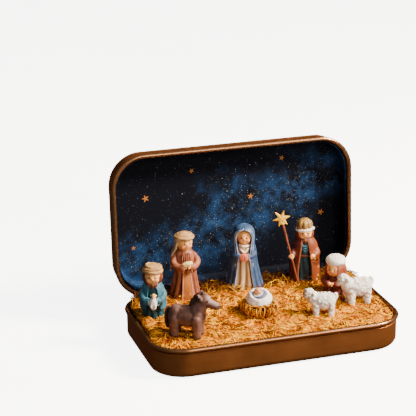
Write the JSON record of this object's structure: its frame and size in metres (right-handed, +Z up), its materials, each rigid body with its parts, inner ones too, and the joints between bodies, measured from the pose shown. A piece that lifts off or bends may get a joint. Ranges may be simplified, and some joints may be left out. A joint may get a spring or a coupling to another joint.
{
  "type": "pocket nativity tin",
  "caption": "Hinged metal pocket tin standing open, with a night-sky card inside its lid, a straw bed in its base and loose clay nativity figures.",
  "frame": {"origin": "centre of the base pan's flat underside, on the surface that the tin stands on", "axes": "+X along the tin's long side to the right, +Y towards the hinge and lid, +Z up"},
  "size_m": [0.096, 0.0684, 0.0657],
  "materials": {
    "tin_copper": "copper-bronze lacquer on tinplate, soft sheen, brighter on the rolled rims",
    "straw": "fine curly golden wood wool",
    "steel_wire": "drawn wire",
    "sky_card": "printed matt night sky",
    "skin_clay": "satin polymer clay",
    "pale_skin_clay": "satin polymer clay",
    "hair_clay": "combed polymer clay",
    "yellow_hair_clay": "combed polymer clay",
    "cream_clay": "matt polymer clay",
    "teal_clay": "matt polymer clay",
    "blue_clay": "matt polymer clay",
    "rose_brown_clay": "matt polymer clay",
    "ochre_clay": "matt polymer clay",
    "mantle_clay": "matt polymer clay with paler edges",
    "coral_clay": "satin polymer clay",
    "terracotta_clay": "matt polymer clay",
    "wine_clay": "matt polymer clay",
    "gold_clay": "gold paint on polymer clay",
    "staff_clay": "matt polymer clay",
    "white_clay": "stippled matt polymer clay",
    "muzzle_clay": "matt polymer clay",
    "donkey_clay": "matt polymer clay",
    "mane_clay": "combed polymer clay"
  },
  "bodies": {
    "base": {"base_pan": "tin_copper", "straw_bed": "straw", "hinge_wire": "steel_wire"},
    "lid": {"lid_pan": "tin_copper", "lid_sky_card": "sky_card"},
    "shepherd": {"shepherd_robe": "teal_clay", "shepherd_cloak": "blue_clay", "shepherd_sleeves": "blue_clay", "shepherd_head": "skin_clay", "shepherd_hair_and_beard": "hair_clay", "shepherd_turban": "cream_clay", "carried_lamb": "white_clay"},
    "traveller": {"traveller_robe": "rose_brown_clay", "traveller_front_panel": "ochre_clay", "traveller_sleeves": "rose_brown_clay", "traveller_head": "skin_clay", "traveller_veil": "cream_clay", "traveller_headband": "cream_clay", "traveller_bundle": "cream_clay"},
    "mother": {"mother_dress": "cream_clay", "mother_mantle": "mantle_clay", "mother_left_sleeve": "mantle_clay", "mother_right_sleeve": "mantle_clay", "mother_hands": "coral_clay", "mother_head": "skin_clay", "mother_hair": "yellow_hair_clay"},
    "king": {"king_tunic": "teal_clay", "king_coat": "terracotta_clay", "king_left_hand": "skin_clay", "king_right_hand": "skin_clay", "king_head": "skin_clay", "king_hair_and_beard": "hair_clay", "king_crown": "gold_clay", "king_headband": "white_clay", "king_staff": "staff_clay", "king_star": "ochre_clay"},
    "kneeler": {"kneeler_robe": "wine_clay", "kneeler_sleeves": "wine_clay", "kneeler_head": "skin_clay", "kneeler_scarf": "coral_clay", "kneeler_woolly_cap": "white_clay"},
    "manger": {"manger_basket": "straw", "manger_quilt": "white_clay", "infant_swaddle": "mantle_clay", "infant_head": "pale_skin_clay"},
    "lamb_front": {"lamb_front_fleece": "white_clay", "lamb_front_face": "muzzle_clay"},
    "lamb_back": {"lamb_back_fleece": "white_clay", "lamb_back_face": "muzzle_clay"},
    "donkey": {"donkey_body": "donkey_clay", "donkey_head": "donkey_clay", "donkey_mane": "mane_clay", "donkey_tail": "mane_clay"}
  },
  "joints": [
    {"name": "lid_hinge", "type": "hinge", "parent": "base", "child": "lid", "pos_m": [0, 0.02712, 0.01073], "axis": [1, 0, 0], "range_deg": [0, 30]},
    {"name": "shepherd_lift", "type": "slide", "parent": "base", "child": "shepherd", "axis": [0, 0, 1], "range_m": [0, 0.06]},
    {"name": "traveller_lift", "type": "slide", "parent": "base", "child": "traveller", "axis": [0, 0, 1], "range_m": [0, 0.06]},
    {"name": "mother_lift", "type": "slide", "parent": "base", "child": "mother", "axis": [0, 0, 1], "range_m": [0, 0.06]},
    {"name": "king_lift", "type": "slide", "parent": "base", "child": "king", "axis": [0, 0, 1], "range_m": [0, 0.06]},
    {"name": "kneeler_lift", "type": "slide", "parent": "base", "child": "kneeler", "axis": [0, 0, 1], "range_m": [0, 0.06]},
    {"name": "manger_lift", "type": "slide", "parent": "base", "child": "manger", "axis": [0, 0, 1], "range_m": [0, 0.06]},
    {"name": "lamb_front_lift", "type": "slide", "parent": "base", "child": "lamb_front", "axis": [0, 0, 1], "range_m": [0, 0.06]},
    {"name": "lamb_back_lift", "type": "slide", "parent": "base", "child": "lamb_back", "axis": [0, 0, 1], "range_m": [0, 0.06]},
    {"name": "donkey_lift", "type": "slide", "parent": "base", "child": "donkey", "axis": [0, 0, 1], "range_m": [0, 0.06]}
  ]
}
